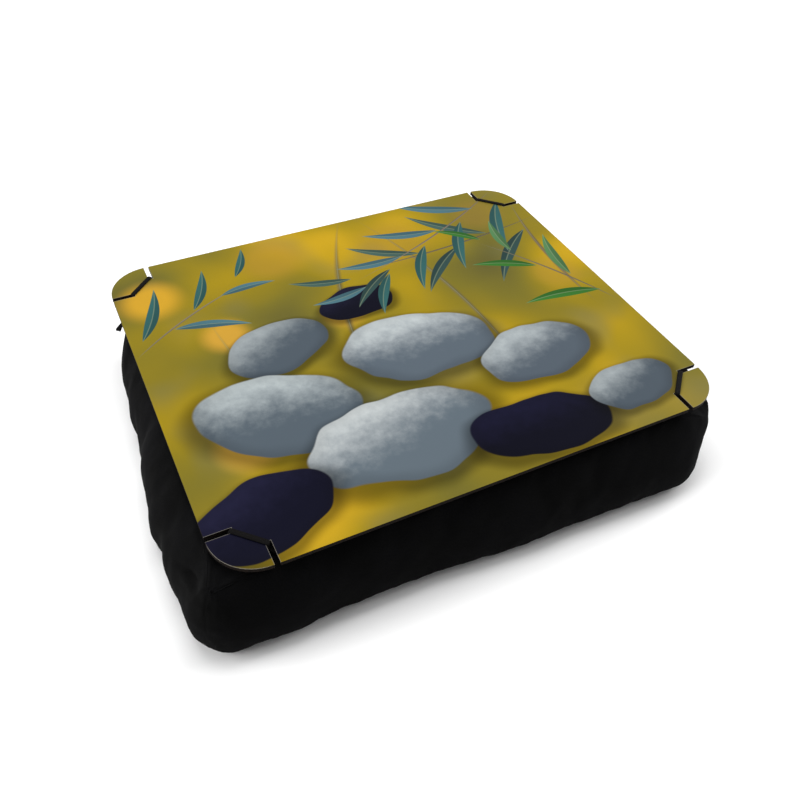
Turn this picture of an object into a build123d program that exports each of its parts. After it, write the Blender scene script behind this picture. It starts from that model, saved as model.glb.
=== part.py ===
"""Lap tray: a printed board held by four corner elastics on a boxed cushion filled with beads.

Millimetres. X runs along the board's long edge, Y to the back and Z up. The origin is on the
surface that the cushion rests on, under the middle of the board.
"""

import os

from build123d import *

os.makedirs("parts", exist_ok=True)

# Board: hardboard with a printed gloss coat
board_width = 400.0
board_depth = 340.0
board_thickness = 3.0
print_thickness = 0.3
board_corner_radius = 33.5

# Notches that let an elastic pass down beside each corner of the board
notch_width = 4.0
notch_setback = 36.0  # from the board's corner, along the edge, to the notch's middle
notch_depth = 18.4
notch_end_radius = 0.6

# Cushion: heights from the surface it rests on
seam_height = 67.0  # where the side strips meet the top panel
crown_rise = 4.4  # how far the middle of the top stands above that seam
foot_seam_height = 6.0  # where the side strips meet the bottom panel
foot_tuck = 12.0  # how far the sides round in under the cushion
seam_inset = 5.0  # the top seam lies this far inside the board's edge
crown_reach = 100.0  # the crown levels off this far inside the top seam

# Cushion: plan. The beads sag outwards below the seam, most at the front left
sag = 32.0
side_draw = 3.0  # how far the sides pull in between the corners, low down
seam_draw = 1.0  # the same at the top seam
side_draw_radius = 900.0
seam_corner_radius = 30.0
soft_corner_radius = 38.0  # of the low corners
least_corner_radius = 6.0

# Fabric, lining and the small gap between one layer and the next
cover_thickness = 1.2
liner_thickness = 0.8
layer_gap = 0.2

# Elastics: flat braid across each corner, sewn down on the top panel near the seam
elastic_width = 4.0
elastic_thickness = 1.2
elastic_bend_radius = 1.2
elastic_clearance = 0.1  # over the board's face
tail_reach = 13.5  # the back left elastic ends in a loose tail this long outside the seam
tail_drop = 7.5
tail_bend_reach = 2.5  # from the seam out to where the tail turns down
tail_bend_radius = 3.0
tack_length = 2.0
tack_width = 4.6
tack_thickness = 0.4
tack_setback = 3.0  # from the seam to the thread tack's outer end
tack_gap = 0.05

board_clearance = 0.3  # between the cushion's crown and the board
overrun = 5.0  # cutters run this far past what they cut

# Shares, chosen by hand
# How far each low corner sags outwards of the board's corner, as shares of sag
corner_signs = {
    "front_left": (-1, -1),
    "front_right": (1, -1),
    "back_right": (1, 1),
    "back_left": (-1, 1),
}
low_corner_shares = {
    "front_left": (1.0, 0.22),
    "front_right": (-0.25, 0.69),
    "back_right": (0.13, 0.19),
    "back_left": (0.22, -0.16),
}
# The roundness of each low corner, as shares of soft_corner_radius
low_radius_shares = {"front_left": 1.0, "front_right": 1.0, "back_right": 1.2, "back_left": 2.1}
# Side strips from the foot to the seam: height, tuck under the foot and lean towards the seam
wall_height_shares = (0.0, 0.04, 0.12, 0.28, 0.50, 0.72, 0.88, 1.0)
wall_tuck_shares = (1.0, 0.45, 0.14, 0.0, 0.0, 0.0, 0.0, 0.0)
wall_lean_shares = (0.0, 0.0, 0.0, 0.0, 0.12, 0.38, 0.68, 1.0)
# Crown from the seam to its level top: reach inwards and rise
crown_reach_shares = (0.0, 0.15, 0.40, 0.70, 1.0)
crown_rise_shares = (0.0, 0.28, 0.64, 0.91, 1.0)

# Heights worked out from the sizes above
crown_height = seam_height + crown_rise
board_bottom = crown_height + board_clearance
print_bottom = board_bottom + board_thickness
board_top = print_bottom + print_thickness
diagonal = 2**0.5
# An elastic's line crosses the corner at 45 degrees, over the inner end of both notches
notch_inner = notch_depth - elastic_width / 2
elastic_half_span = (notch_setback - notch_inner) / diagonal
elastic_foot_run = (notch_inner - seam_inset) * diagonal


def save(piece, label):
    """Labels one finished piece and writes it under its own name."""
    piece.part.label = label
    export_step(piece.part, f"parts/{label}.step")
    print(f"{label}: {len(piece.part.solids())} solid(s), {piece.part.volume:.0f} mm3")


def board_outline(height):
    """The board's outline with its eight notches, drawn at a height."""
    edge_x, edge_y = board_width / 2, board_depth / 2
    cutter_length = notch_depth + overrun
    cutter_middle = notch_depth - cutter_length / 2
    side_notches = [
        (sx * (edge_x - cutter_middle), sy * (edge_y - notch_setback))
        for sx, sy in corner_signs.values()
    ]
    end_notches = [
        (sx * (edge_x - notch_setback), sy * (edge_y - cutter_middle))
        for sx, sy in corner_signs.values()
    ]
    with BuildSketch(Plane.XY.offset(height)) as outline:
        RectangleRounded(board_width, board_depth, board_corner_radius)
        with Locations(*side_notches):
            RectangleRounded(cutter_length, notch_width, notch_end_radius, mode=Mode.SUBTRACT)
        with Locations(*end_notches):
            RectangleRounded(notch_width, cutter_length, notch_end_radius, mode=Mode.SUBTRACT)
    return outline.sketch


def cushion_section(height, lean, inset, reach=0.0):
    """The cushion cut level at a height.

    lean goes from 0, the sagging outline low down, to 1, the top seam's. inset takes the
    outline and its corners in, and reach moves it further in with its corners as round.
    """
    corners, corner_radii = [], []
    for name, (sx, sy) in corner_signs.items():
        share_x, share_y = low_corner_shares[name]
        out_x = sag * share_x * (1 - lean) - seam_inset * lean - inset - reach
        out_y = sag * share_y * (1 - lean) - seam_inset * lean - inset - reach
        corners.append(Vector(sx * (board_width / 2 + out_x), sy * (board_depth / 2 + out_y)))
        low_radius = soft_corner_radius * low_radius_shares[name]
        radius = low_radius * (1 - lean) + seam_corner_radius * lean
        corner_radii.append(max(radius - inset, least_corner_radius))
    draw = side_draw * (1 - lean) + seam_draw * lean
    inwards = [Vector(0, 1), Vector(-1, 0), Vector(0, -1), Vector(1, 0)]
    points, radii = [], []
    for i, corner in enumerate(corners):
        middle = (corner + corners[(i + 1) % len(corners)]) / 2
        points += [corner, middle + inwards[i] * draw]
        radii += [corner_radii[i], side_draw_radius]
    with BuildSketch(Plane.XY.offset(height)) as section:
        with BuildLine():
            FilletPolyline(*points, radius=radii, close=True)
        make_face()
    return section.sketch


def cushion_body(layer):
    """The whole cushion's form, taken in by the thickness of the layers outside it."""
    foot = layer
    seam = seam_height - layer
    walls = [
        cushion_section(foot + (seam - foot) * height, lean, foot_tuck * tuck + layer)
        for height, tuck, lean in zip(wall_height_shares, wall_tuck_shares, wall_lean_shares)
    ]
    crown = [
        cushion_section(seam + crown_rise * rise, 1.0, layer, crown_reach * reach)
        for reach, rise in zip(crown_reach_shares, crown_rise_shares)
    ]
    with BuildPart() as body:
        loft(walls)
        loft(crown)
    return body.part


def strip_wedge(first, second):
    """A tall wedge from the middle of the cushion out past two of its corners."""
    sides = []
    for name in (first, second):
        sx, sy = corner_signs[name]
        share_x, share_y = low_corner_shares[name]
        sides.append((sx * (board_width + sag * share_x), sy * (board_depth + sag * share_y)))
    with BuildPart() as wedge:
        with BuildSketch(Plane.XY.offset(foot_seam_height)):
            with BuildLine():
                Polyline((0, 0), *sides, close=True)
            make_face()
        extrude(amount=seam_height - cover_thickness / 2 - foot_seam_height)
    return wedge.part


def corner_plane(sx, sy):
    """The upright plane along a corner's diagonal; its local Y is up.

    Its local X runs from the notch in the side edge to the notch in the front or back edge.
    """
    middle = (notch_setback + notch_inner) / 2
    origin = (sx * (board_width / 2 - middle), sy * (board_depth / 2 - middle), 0)
    along = Vector(-sx, sy, 0)
    return Plane(origin=origin, x_dir=along, z_dir=along.cross(Vector(0, 0, 1)))


# Printed board
with BuildPart() as board_core:
    extrude(board_outline(board_bottom), amount=board_thickness)
save(board_core, "board_core")

with BuildPart() as board_print:
    extrude(board_outline(print_bottom), amount=print_thickness)
save(board_print, "board_print")

# Cushion: cover, lining and beads are nested forms
cover_outside = cushion_body(0)
cover_inside = cushion_body(cover_thickness)
liner_outside = cushion_body(cover_thickness + layer_gap)
liner_inside = cushion_body(cover_thickness + layer_gap + liner_thickness)
fill_outside = cushion_body(cover_thickness + liner_thickness + 2 * layer_gap)

with BuildPart() as cover:
    add(cover_outside)
    add(cover_inside, mode=Mode.SUBTRACT)

with BuildPart() as cover_top_panel:
    add(cover.part)
    split(bisect_by=Plane.XY.offset(seam_height - cover_thickness / 2), keep=Keep.TOP)
save(cover_top_panel, "cover_top_panel")

with BuildPart() as cover_bottom_panel:
    add(cover.part)
    split(bisect_by=Plane.XY.offset(foot_seam_height), keep=Keep.BOTTOM)
save(cover_bottom_panel, "cover_bottom_panel")

# The side is four strips, sewn to each other down the corners
strip_ends = {
    "side_strip_front": ("front_left", "front_right"),
    "side_strip_right": ("front_right", "back_right"),
    "side_strip_back": ("back_right", "back_left"),
    "side_strip_left": ("back_left", "front_left"),
}
for label, (first, second) in strip_ends.items():
    with BuildPart() as side_strip:
        add(cover.part)
        add(strip_wedge(first, second), mode=Mode.INTERSECT)
    save(side_strip, label)

with BuildPart() as inner_liner:
    add(liner_outside)
    add(liner_inside, mode=Mode.SUBTRACT)
save(inner_liner, "inner_liner")

with BuildPart() as bead_fill:
    add(fill_outside)
save(bead_fill, "bead_fill")

# Elastics: over the board's corner, down through both notches and out to the top seam
over_height = board_top + elastic_clearance + elastic_thickness / 2
under_height = board_bottom - board_clearance - elastic_thickness
sewn_height = seam_height + layer_gap + elastic_thickness * 3 / 4
sewn_end = elastic_half_span + elastic_foot_run
foot_slope = (under_height - sewn_height) / elastic_foot_run
tail_bend = (-(sewn_end + tail_bend_reach), sewn_height - foot_slope * tail_bend_reach)
tail_end = (-(sewn_end + tail_reach), sewn_height - tail_drop)
for name, (sx, sy) in corner_signs.items():
    route = [
        (-sewn_end, sewn_height),
        (-elastic_half_span, under_height),
        (-elastic_half_span, over_height),
        (elastic_half_span, over_height),
        (elastic_half_span, under_height),
        (sewn_end, sewn_height),
    ]
    radii = [elastic_bend_radius] * 4
    if name == "back_left":
        route[0] = tail_bend
        route.insert(0, tail_end)
        radii.insert(0, tail_bend_radius)
    with BuildPart() as elastic:
        with BuildSketch(corner_plane(sx, sy)):
            with BuildLine():
                FilletPolyline(*route, radius=radii)
            trace(line_width=elastic_thickness)
        extrude(amount=elastic_width / 2, both=True)
    save(elastic, f"elastic_{name}")

# Thread tacks hold both ends of each elastic
tack_lift = (elastic_thickness + tack_thickness) / 2 + tack_gap
tack_outer = (sewn_end - tack_setback, sewn_height + foot_slope * tack_setback + tack_lift)
tack_inner = (tack_outer[0] - tack_length, tack_outer[1] + foot_slope * tack_length)
with BuildPart() as elastic_tacks:
    for sx, sy in corner_signs.values():
        with BuildSketch(corner_plane(sx, sy)):
            for side in (-1, 1):
                with BuildLine():
                    Line((side * tack_inner[0], tack_inner[1]), (side * tack_outer[0], tack_outer[1]))
                trace(line_width=tack_thickness)
        extrude(amount=tack_width / 2, both=True)
save(elastic_tacks, "elastic_tacks")
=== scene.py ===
"""Looks of a lap tray: a printed hardboard on a black boxed cushion, held by corner elastics.

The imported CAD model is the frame, and every size below is in millimetres in that frame: X along
the board's long edge, Y to the back, Z up from the surface that the cushion rests on.
"""

import logging
import math
from collections.abc import Sequence
from dataclasses import dataclass
from enum import Enum

import bpy
import numpy as np
from mathutils import Matrix, Vector


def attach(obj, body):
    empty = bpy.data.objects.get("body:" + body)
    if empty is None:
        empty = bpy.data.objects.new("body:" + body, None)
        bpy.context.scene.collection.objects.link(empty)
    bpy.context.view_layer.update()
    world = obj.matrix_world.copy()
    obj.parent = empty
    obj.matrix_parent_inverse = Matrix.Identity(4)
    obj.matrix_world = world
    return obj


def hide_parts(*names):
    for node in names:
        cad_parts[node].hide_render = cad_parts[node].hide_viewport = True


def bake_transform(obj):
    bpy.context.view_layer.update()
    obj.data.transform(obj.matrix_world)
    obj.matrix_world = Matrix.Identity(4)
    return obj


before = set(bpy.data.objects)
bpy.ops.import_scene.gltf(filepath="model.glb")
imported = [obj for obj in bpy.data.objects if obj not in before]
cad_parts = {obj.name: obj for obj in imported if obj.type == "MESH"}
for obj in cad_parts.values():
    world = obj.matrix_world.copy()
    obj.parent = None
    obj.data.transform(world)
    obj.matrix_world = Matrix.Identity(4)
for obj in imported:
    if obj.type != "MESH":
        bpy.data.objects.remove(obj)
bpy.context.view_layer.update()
MM = 0.001
BOARD_HALF = np.array((200.0, 170.0))
log = logging.getLogger("lap_tray")

# Corners are always listed in this order, as signs of X and Y: front left, front right,
# back right, back left
CORNERS = np.array([(-1.0, -1.0), (1.0, -1.0), (1.0, 1.0), (-1.0, 1.0)])
CORNER_NAMES = ("front_left", "front_right", "back_right", "back_left")
Triple = tuple[float, float, float]
Four = tuple[float, float, float, float]
Pairs = tuple[tuple[float, float], ...]


class Body(Enum):
    """The two bodies of the frame that a piece can ride on."""

    CUSHION = "cushion"
    BOARD = "board"


class Slot(Enum):
    """The record's material slots."""

    HARDBOARD = "hardboard"
    PRINTED_COAT = "printed_coat"
    COVER_FABRIC = "cover_fabric"
    LINING = "lining"
    BEADS = "beads"
    ELASTIC = "elastic"
    THREAD = "thread"


def linear(code: str) -> Four:
    """Turns an sRGB hex colour into the linear one that a shader socket takes.

    Args:
        code: The colour as #rrggbb.

    Returns:
        Linear red, green, blue and an alpha of 1.
    """
    shares = [int(code[i : i + 2], 16) / 255 for i in (1, 3, 5)]
    red, green, blue = (
        s / 12.92 if s <= 0.04045 else ((s + 0.055) / 1.055) ** 2.4 for s in shares
    )
    return red, green, blue, 1.0


class Graph:
    """A node tree that grows by one node per call."""

    def __init__(self, tree: bpy.types.NodeTree) -> None:
        """Starts from an emptied tree."""
        self.tree = tree
        tree.nodes.clear()

    def add(
        self,
        kind: str,
        inputs: Sequence | dict = (),
        pick: int | str = 0,
        stops: Sequence[tuple[float, str]] = (),
        **settings: object,
    ) -> bpy.types.NodeSocket | None:
        """Adds a node with its settings, constants and links.

        Args:
            kind: The node's type without its leading ShaderNode, or a group's NodeGroupInput
                or NodeGroupOutput.
            inputs: A constant or an output socket for each input, in order or by key.
            pick: The output to hand back.
            stops: The places and hex colours of a colour ramp.
            **settings: The node's own attributes.

        Returns:
            The output socket asked for, or None on a node that has none.
        """
        name = kind if kind.startswith("Node") else "ShaderNode" + kind
        node = self.tree.nodes.new(name)
        for key, value in settings.items():
            setattr(node, key, value)
        for key, value in inputs.items() if isinstance(inputs, dict) else enumerate(inputs):
            if isinstance(value, bpy.types.NodeSocket):
                self.tree.links.new(value, node.inputs[key])
            elif value is not None:
                node.inputs[key].default_value = value
        for i, (place, code) in enumerate(stops):
            ramp = node.color_ramp.elements
            element = ramp[i] if i < 2 else ramp.new(place)
            element.position, element.color = place, linear(code)
        return node.outputs[pick] if len(node.outputs) else None


def new_material(name: str) -> tuple[bpy.types.Material, Graph]:
    """Makes an empty node material.

    Args:
        name: The material's name.

    Returns:
        The material and the graph of its node tree.
    """
    material = bpy.data.materials.new(name)
    material.use_nodes = True
    return material, Graph(material.node_tree)


def object_millimetres(graph: Graph) -> bpy.types.NodeSocket:
    """The object coordinates in millimetres, as a socket."""
    place = graph.add("TexCoord", pick="Object")
    return graph.add("VectorMath", (place, (1 / MM,) * 3), operation="MULTIPLY")


def make_mesh(
    name: str,
    points: np.ndarray,
    faces: Sequence[Sequence[int]],
    uv: np.ndarray | None = None,
) -> bpy.types.Object:
    """Puts points and faces into a smooth-shaded mesh object at the origin.

    Args:
        name: The piece's name.
        points: Positions in millimetres, one row each.
        faces: The corner indices of each face, anticlockwise from outside.
        uv: One pair of texture coordinates for each face corner, or None.

    Returns:
        The object, linked to the scene.
    """
    mesh = bpy.data.meshes.new(name)
    mesh.from_pydata((np.asarray(points) * MM).tolist(), [], [list(f) for f in faces])
    mesh.polygons.foreach_set("use_smooth", np.ones(len(mesh.polygons), bool))
    if uv is not None:
        mesh.uv_layers.new(name="cloth").data.foreach_set("uv", uv.astype(np.float32).ravel())
    mesh.validate()
    mesh.update()
    piece = bpy.data.objects.new(name, mesh)
    bpy.context.scene.collection.objects.link(piece)
    return piece


def read_vertices(mesh: bpy.types.Mesh, what: str) -> np.ndarray:
    """Reads three numbers from every vertex of a mesh.

    Args:
        mesh: The mesh.
        what: Their name there: co, in metres, or normal.

    Returns:
        One row for each vertex.
    """
    found = np.zeros(len(mesh.vertices) * 3, np.float32)
    mesh.vertices.foreach_get(what, found)
    return found.reshape(-1, 3)


def move_vertices(mesh: bpy.types.Mesh, points: np.ndarray) -> None:
    """Puts every vertex of a mesh at its new place, given in millimetres."""
    mesh.vertices.foreach_set("co", (points * MM).astype(np.float32).ravel())
    mesh.update()


def tube_faces(rings: int, count: int, first: int, turned: bool) -> list[list[int]]:
    """Numbers the faces of a tube that is closed by a cap at each end.

    Args:
        rings: How many rings of points the tube has.
        count: How many points a ring has.
        first: The number of the tube's first point.
        turned: Whether the faces are turned round, to point outwards.

    Returns:
        The quads, ring by ring, then the first cap and the last.
    """
    index = first + np.arange(rings * count).reshape(rings, count)
    ringed = np.concatenate((index, index[:, :1]), axis=1)
    quads = np.stack((ringed[:-1, :-1], ringed[1:, :-1], ringed[1:, 1:], ringed[:-1, 1:]), -1)
    caps = [index[0].tolist(), index[-1][::-1].tolist()]
    faces = quads.reshape(-1, 4).tolist() + caps
    return [face[::-1] for face in faces] if turned else faces


def dress(piece: bpy.types.Object, material: bpy.types.Material) -> None:
    """Gives a piece one material and no other."""
    piece.data.materials.clear()
    piece.data.materials.append(material)


def waves(along: np.ndarray, lengths: Sequence[float], seed: int) -> np.ndarray:
    """Adds sine waves of the given lengths, each with a seeded phase, scaled to about 1.

    Args:
        along: Where each point lies, in millimetres.
        lengths: The wave lengths in millimetres.
        seed: The seed of the phases.

    Returns:
        The sum at each point.
    """
    phases = np.random.default_rng(seed).uniform(0, 2 * math.pi, len(lengths))
    total = sum(
        np.sin(2 * math.pi * along / length + phase) for length, phase in zip(lengths, phases)
    )
    return total / math.sqrt(len(lengths))


# Finishes


@dataclass(frozen=True)
class Glow:
    """A round spot of blurred light in the print's background."""

    x: float
    y: float
    radius: float
    colour: str
    strength: float


@dataclass(frozen=True)
class Leaf:
    """A pointed leaf, blade or stem in the print, lying along its own axis."""

    x: float
    y: float
    turn: float
    length: float
    width: float
    bend: float
    colour: str
    blur: float = 0.5


@dataclass(frozen=True)
class Stone:
    """A smooth river stone in the print, lit from its upper side."""

    x: float
    y: float
    turn: float
    length: float
    width: float
    light: str
    shade: str


@dataclass(frozen=True)
class Sprig:
    """A bent stem with leaves on alternate sides that shorten towards its tip."""

    x: float
    y: float
    turn: float
    reach: float
    bend: float
    leaves: int
    leaf_length: float
    leaf_width: float
    colours: tuple[str, str]
    stem_colour: str
    blur: float = 0.5
    stem_width: float = 2.2
    root_lean: float = 52.0
    lean_loss: float = 26.0

    def parts(self) -> list[Leaf]:
        """Works out the stem and its leaves.

        A point at share t of the stem lies reach times t along the turn and bend times t
        squared to its left. A leaf starts there and leans out by the root's angle less t
        times the loss. Leaves shorten and narrow towards the tip.

        Returns:
            The stem as a long thin leaf, then the leaves from the root up.
        """
        share = (np.arange(self.leaves) + 0.8) / self.leaves
        heading = math.radians(self.turn) + np.arctan2(2 * self.bend * share, self.reach)
        cosine, sine = math.cos(math.radians(self.turn)), math.sin(math.radians(self.turn))
        along, aside = self.reach * share, self.bend * share**2
        root_x = self.x + along * cosine - aside * sine
        root_y = self.y + along * sine + aside * cosine
        side = np.where(np.arange(self.leaves) % 2 == 0, 1.0, -1.0)
        angle = heading + side * np.radians(self.root_lean - self.lean_loss * share)
        length = self.leaf_length * (1.05 - 0.45 * share)
        found = [
            Leaf(
                self.x + self.reach / 2 * cosine - self.bend / 4 * sine,
                self.y + self.reach / 2 * sine + self.bend / 4 * cosine,
                self.turn + math.degrees(math.atan2(self.bend, self.reach)),
                self.reach * 1.04,
                self.stem_width,
                self.bend / 4,
                self.stem_colour,
                self.blur,
            )
        ]
        for i in range(self.leaves):
            found.append(
                Leaf(
                    root_x[i] + math.cos(angle[i]) * length[i] / 2,
                    root_y[i] + math.sin(angle[i]) * length[i] / 2,
                    math.degrees(angle[i]),
                    length[i],
                    self.leaf_width * (1.05 - 0.3 * share[i]),
                    -side[i] * length[i] * 0.06,
                    self.colours[i % 2],
                    self.blur,
                )
            )
        return found


@dataclass(frozen=True)
class PrintedCoat:
    """Dye print under a clear coat on white-primed hardboard.

    The coat was sprayed and cured, so it is even and satin, and the cut shows the white primer
    as a hair-thin pale line round the corners and the notches. The depth is the share of a
    dye's colour that comes back through the coat, and the cut depth that of its singed sides.
    """

    name: str = "dye_printed_clear_coat"
    corner_radius: float = 33.5
    notch_middle: float = 36.0
    notch_depth: float = 18.4
    notch_half_width: float = 2.0
    rim: float = 0.4
    rim_share: float = 0.5
    notch_share: float = 0.4
    face_height: float = 75.0
    patch: float = 95.0
    drift: float = 60.0
    veil: float = 0.45
    warp: float = 45.0
    warp_reach: float = 18.0
    mottle: float = 9.0
    peel: float = 1.5
    depth: float = 0.5
    cut_depth: float = 0.05
    rim_fade: float = 6.0
    primer: str = "#979286"
    midrib: str = "#b9c7a0"
    grounds: tuple[tuple[float, str], ...] = (
        (0.24, "#746e38"),
        (0.38, "#8f8432"),
        (0.50, "#a99428"),
        (0.62, "#c6a722"),
        (0.76, "#eabd28"),
    )
    mist: str = "#7d8262"
    glows: tuple[Glow, ...] = (
        Glow(-172, 120, 34, "#ffc43a", 0.85),
        Glow(-128, 52, 26, "#ffc24a", 0.8),
        Glow(-60, 138, 40, "#d9a83c", 0.5),
        Glow(52, 118, 46, "#c9a03a", 0.5),
        Glow(150, 132, 38, "#b8963c", 0.5),
        Glow(168, 18, 30, "#cfa53e", 0.5),
        Glow(-150, -70, 30, "#ffc850", 0.8),
        Glow(20, -52, 34, "#b5a458", 0.5),
        Glow(120, -140, 40, "#a09048", 0.5),
        Glow(-30, 40, 24, "#f0b848", 0.6),
    )

    def far_blades(self) -> list[Leaf]:
        """The blurred blades behind everything else."""
        return [
            Leaf(-20, 70, 74, 260, 9, 16, "#7d7250", 5.0),
            Leaf(70, 40, 98, 300, 7, -20, "#857a58", 4.0),
            Leaf(-120, -20, 104, 230, 8, 12, "#8b8a52", 5.0),
            Leaf(178, 60, 84, 200, 6, 10, "#7a6b5a", 3.0),
        ]

    def stones(self) -> list[Stone]:
        """The stones, from the back of the group to its front."""
        return [
            Stone(-96, 22, 14, 92, 56, "#c9d2d4", "#5f6b76"),
            Stone(10, -20, -10, 130, 76, "#f0f8f9", "#6d7a86"),
            Stone(-14, 50, 6, 70, 40, "#22223c", "#0c0c1e"),
            Stone(-118, -48, -16, 128, 86, "#e4eeef", "#66737e"),
            Stone(92, -66, 8, 104, 62, "#dde6e8", "#65717d"),
            Stone(-44, -104, 5, 150, 84, "#f6fcfc", "#74828d"),
            Stone(-158, -132, 12, 104, 62, "#272644", "#0e0e24"),
            Stone(52, -138, -7, 110, 58, "#1e1d3a", "#0a0a1c"),
            Stone(138, -128, 10, 76, 46, "#cfd8da", "#5d6974"),
        ]

    def near_leaves(self) -> list[Leaf]:
        """Lays out the sharp leaves in front.

        Returns:
            The stems and leaves of four sprigs.
        """
        teal = ("#3b6c6b", "#56808c")
        green = ("#3f7f35", "#5e8f5c")
        shaded = ("#3a5552", "#4c6a62")
        sprigs = (
            Sprig(204, 92, 176, 215, 30, 6, 92, 12, shaded, "#6f6558"),
            Sprig(196, 152, 196, 215, 34, 8, 88, 12.5, teal, "#8b7d70"),
            Sprig(206, -34, 128, 150, -22, 5, 76, 11.5, green, "#7f7560"),
            Sprig(-206, 62, 18, 130, 26, 5, 72, 10.5, teal, "#94866f"),
        )
        return [part for sprig in sprigs for part in sprig.parts()]

    def begin_group(self, name: str, inputs: str, outputs: str) -> Graph:
        """Makes an empty node group, with its sockets given as words like Place:Vector.

        Args:
            name: The group's name.
            inputs: The input sockets.
            outputs: The output sockets.

        Returns:
            The graph of its tree.
        """
        tree = bpy.data.node_groups.new(name, "ShaderNodeTree")
        for side, words in (("INPUT", inputs), ("OUTPUT", outputs)):
            for word in words.split():
                socket, kind = word.split(":")
                tree.interface.new_socket(socket, in_out=side, socket_type="NodeSocket" + kind)
        return Graph(tree)

    def leaf_group(self) -> bpy.types.NodeTree:
        """Makes the node group that paints one leaf over the colour under it.

        In the leaf's own frame u runs from -1 to 1 along it and v across it, moved aside by
        the bend times u squared. The leaf is where the absolute v is less than
        (1 - u * u) * (1 - 0.28 * u), it is lighter on one side of the midrib, and the midrib
        is pale.

        Returns:
            The group.
        """
        graph = self.begin_group(
            "leaf_over_ground",
            "Place:Vector Under:Vector Middle:Vector Along:Vector Across:Vector"
            " Bend:Float Blur:Float Colour:Vector",
            "Over:Vector",
        )
        given = graph.add("NodeGroupInput").node.outputs
        moved = graph.add(
            "VectorMath", (given["Place"], given["Middle"]), operation="SUBTRACT"
        )
        u = graph.add("VectorMath", (moved, given["Along"]), "Value", operation="DOT_PRODUCT")
        straight = graph.add(
            "VectorMath", (moved, given["Across"]), "Value", operation="DOT_PRODUCT"
        )
        u_squared = graph.add("Math", (u, u), operation="MULTIPLY")
        v = graph.add("Math", (u_squared, given["Bend"], straight), operation="MULTIPLY_ADD")
        v_size = graph.add("Math", (v,), operation="ABSOLUTE")
        lens = graph.add("Math", (1.0, u_squared), operation="SUBTRACT", use_clamp=True)
        lean = graph.add("Math", (u, -0.28, 1.0), operation="MULTIPLY_ADD")
        outline = graph.add("Math", (lens, lean), operation="MULTIPLY")
        inside = graph.add("Math", (outline, v_size), operation="SUBTRACT")
        mask = graph.add(
            "MapRange", (inside, 0.0, given["Blur"], 0.0, 1.0), interpolation_type="SMOOTHSTEP"
        )
        lit = graph.add("MapRange", (v, -0.3, 0.3, 0.8, 1.16), interpolation_type="SMOOTHSTEP")
        tip = graph.add("MapRange", (u, -1.0, 1.0, 0.84, 1.12))
        strength = graph.add("Math", (lit, tip), operation="MULTIPLY")
        shaded = graph.add("VectorMath", {0: given["Colour"], 3: strength}, operation="SCALE")
        rib = graph.add("MapRange", (v_size, 0.02, 0.12, 0.4, 0.0))
        veined = graph.add(
            "Mix", {0: rib, 4: shaded, 5: linear(self.midrib)[:3]}, 1, data_type="VECTOR"
        )
        over = graph.add("Mix", {0: mask, 4: given["Under"], 5: veined}, 1, data_type="VECTOR")
        graph.add("NodeGroupOutput", (over,))
        return graph.tree

    def stone_group(self) -> bpy.types.NodeTree:
        """Makes the node group that paints one stone over the colour under it.

        The stone is an ellipse, r = length of (u, v) below 1. It goes from its shade to its
        light up the v direction with a fine mottle, and darkens the ground just below it.

        Returns:
            The group.
        """
        graph = self.begin_group(
            "stone_over_ground",
            "Place:Vector Under:Vector Middle:Vector Along:Vector Across:Vector"
            " Light:Vector Shade:Vector Mottle:Float",
            "Over:Vector",
        )
        given = graph.add("NodeGroupInput").node.outputs
        moved = graph.add(
            "VectorMath", (given["Place"], given["Middle"]), operation="SUBTRACT"
        )
        u = graph.add("VectorMath", (moved, given["Along"]), "Value", operation="DOT_PRODUCT")
        v = graph.add("VectorMath", (moved, given["Across"]), "Value", operation="DOT_PRODUCT")
        u_squared = graph.add("Math", (u, u), operation="MULTIPLY")
        squared = graph.add("Math", (v, v, u_squared), operation="MULTIPLY_ADD")
        radius = graph.add("Math", (squared, 0.5), operation="POWER")
        mask = graph.add(
            "MapRange", (radius, 1.0, 0.965, 0.0, 1.0), interpolation_type="SMOOTHSTEP"
        )
        raised = graph.add("Math", (u, -0.35, v), operation="MULTIPLY_ADD")
        speck = graph.add("Math", (given["Mottle"], 0.9, raised), operation="MULTIPLY_ADD")
        glaze = graph.add(
            "MapRange", (speck, -0.35, 1.3, 0.0, 1.0), interpolation_type="SMOOTHSTEP"
        )
        body = graph.add(
            "Mix", {0: glaze, 4: given["Shade"], 5: given["Light"]}, 1, data_type="VECTOR"
        )
        edge = graph.add(
            "MapRange", (radius, 0.7, 1.0, 1.0, 0.78), interpolation_type="SMOOTHSTEP"
        )
        rounded = graph.add("VectorMath", {0: body, 3: edge}, operation="SCALE")
        below = graph.add("Math", (v, 0.12, radius), operation="MULTIPLY_ADD")
        shadow = graph.add(
            "MapRange", (below, 0.95, 1.25, 0.42, 1.0), interpolation_type="SMOOTHSTEP"
        )
        darkened = graph.add("VectorMath", {0: given["Under"], 3: shadow}, operation="SCALE")
        over = graph.add("Mix", {0: mask, 4: darkened, 5: rounded}, 1, data_type="VECTOR")
        graph.add("NodeGroupOutput", (over,))
        return graph.tree

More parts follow.
